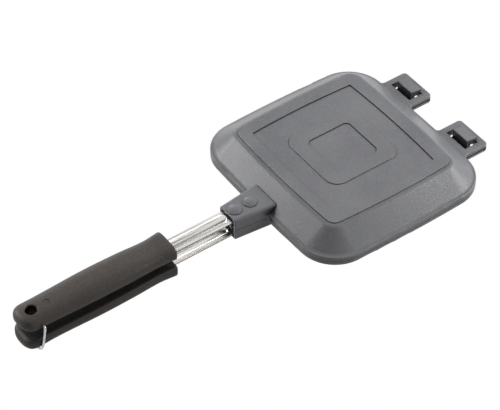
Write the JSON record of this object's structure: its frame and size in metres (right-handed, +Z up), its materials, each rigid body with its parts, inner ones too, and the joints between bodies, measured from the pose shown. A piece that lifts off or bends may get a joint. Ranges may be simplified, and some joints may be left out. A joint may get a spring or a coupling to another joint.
{
  "type": "pie iron",
  "caption": "Hinged sandwich iron: two near-square cast pans with sloping flanks, lift-off hook hinge, steel shafts, black grips and a wire bail at the tail.",
  "frame": {"origin": "middle of the object's box in plan, on the surface that the lower pan's plateau rests on", "axes": "+X along the handles towards the hinge, +Y across the hinge, +Z up through the shut pans"},
  "size_m": [0.3554, 0.1554, 0.0352],
  "materials": {
    "pan_coating": "matt grey non-stick coating on die-cast aluminium",
    "rivet_metal": "coated with the casting",
    "shaft_steel": "bright pressed stainless strip",
    "grip_resin": "satin black moulded phenolic resin",
    "screw_steel": "plain steel",
    "bail_wire": "bright wire"
  },
  "bodies": {
    "lower_half": {"lower_pan": "pan_coating", "lower_shaft": "shaft_steel", "lower_front_rivet": "rivet_metal", "lower_rear_rivet": "rivet_metal", "lower_grip": "grip_resin", "lower_grip_screw": "screw_steel"},
    "upper_half": {"upper_pan": "pan_coating", "upper_shaft": "shaft_steel", "upper_front_rivet": "rivet_metal", "upper_rear_rivet": "rivet_metal", "upper_grip": "grip_resin", "upper_grip_screw": "screw_steel"},
    "bail": {"bail": "bail_wire"}
  },
  "joints": [
    {"name": "upper_open", "type": "hinge", "parent": "lower_half", "child": "upper_half", "pos_m": [0.1748, 0, 0.01922], "axis": [0, 1, 0], "range_deg": [0, 100]},
    {"name": "bail_swing", "type": "hinge", "parent": "upper_half", "child": "bail", "pos_m": [-0.16465, 0, 0.0254], "axis": [0, 1, 0], "range_deg": [0, 180]}
  ]
}
